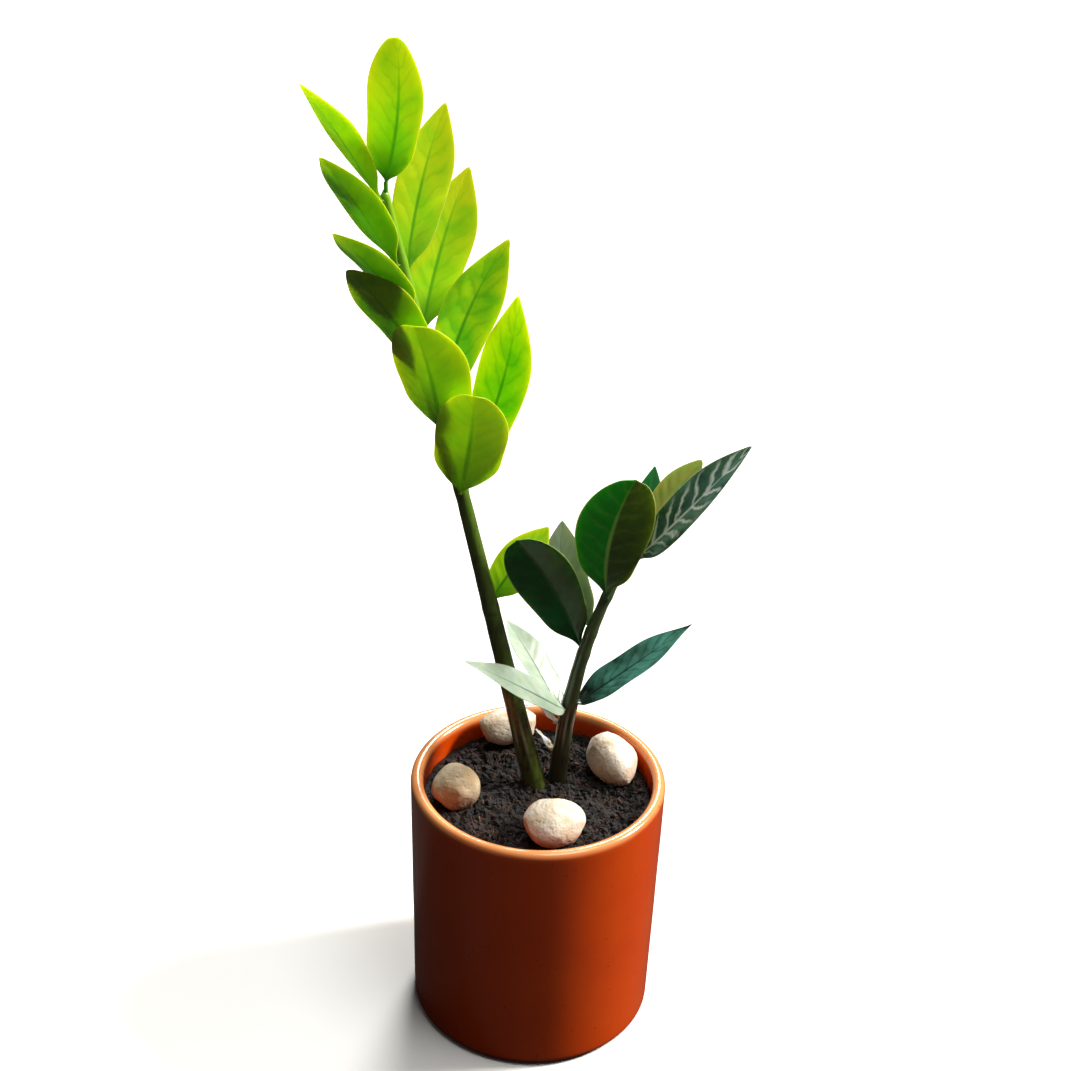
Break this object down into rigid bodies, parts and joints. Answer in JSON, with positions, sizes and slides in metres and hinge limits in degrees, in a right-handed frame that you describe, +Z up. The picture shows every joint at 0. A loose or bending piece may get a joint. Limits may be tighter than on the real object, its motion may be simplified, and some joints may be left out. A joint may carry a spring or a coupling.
{
  "type": "potted zz plant",
  "caption": "Small potted ZZ plant: a tall leaning frond and a short second frond of glossy leaflets in a straight glazed pot with pebbles on the soil.",
  "frame": {"origin": "centre of the pot's flat underside", "axes": "+Z up along the pot's axis, -Y the front the plant is seen from, +X to the right; the tall frond leans towards -X"},
  "size_m": [0.1587, 0.1, 0.3947],
  "materials": {
    "pot_glaze": "glossy orange-brown glaze",
    "soil": "dark, crumbly, matt",
    "pebble_white": "chalky off-white, matt",
    "pebble_tan": "pale tan, matt",
    "stem": "smooth, waxy, dark olive",
    "leaf_young": "waxy yellow-green, slightly translucent",
    "leaf_green": "waxy mid green",
    "leaf_dark": "glossy dark green",
    "leaf_olive": "waxy olive with a bronze tint",
    "sheath": "dry, papery, pale"
  },
  "bodies": {
    "root": {"pot": "pot_glaze", "soil": "soil", "main_stem": "stem", "second_stem": "stem", "main_leaf_top": "leaf_young", "main_leaf_right_1": "leaf_young", "main_leaf_right_2": "leaf_young", "main_leaf_right_3": "leaf_green", "main_leaf_right_4": "leaf_green", "main_leaf_right_5": "leaf_young", "main_leaf_left_1": "leaf_young", "main_leaf_left_2": "leaf_green", "main_leaf_left_3": "leaf_green", "main_leaf_left_4": "leaf_green", "main_leaf_left_5": "leaf_young", "main_leaf_left_6": "leaf_young", "second_leaf_left_1": "leaf_dark", "second_leaf_left_2": "leaf_dark", "second_leaf_middle": "leaf_dark", "second_leaf_back_1": "leaf_dark", "second_leaf_back_2": "leaf_dark", "second_leaf_back_3": "leaf_dark", "second_leaf_right_1": "leaf_dark", "second_leaf_tip": "leaf_olive", "second_leaf_right_2": "leaf_dark", "stem_sheath_upper": "sheath", "stem_sheath_lower": "sheath", "pebble_back": "pebble_white", "pebble_left": "pebble_tan", "pebble_front": "pebble_white", "pebble_right": "pebble_white"}
  },
  "joints": []
}
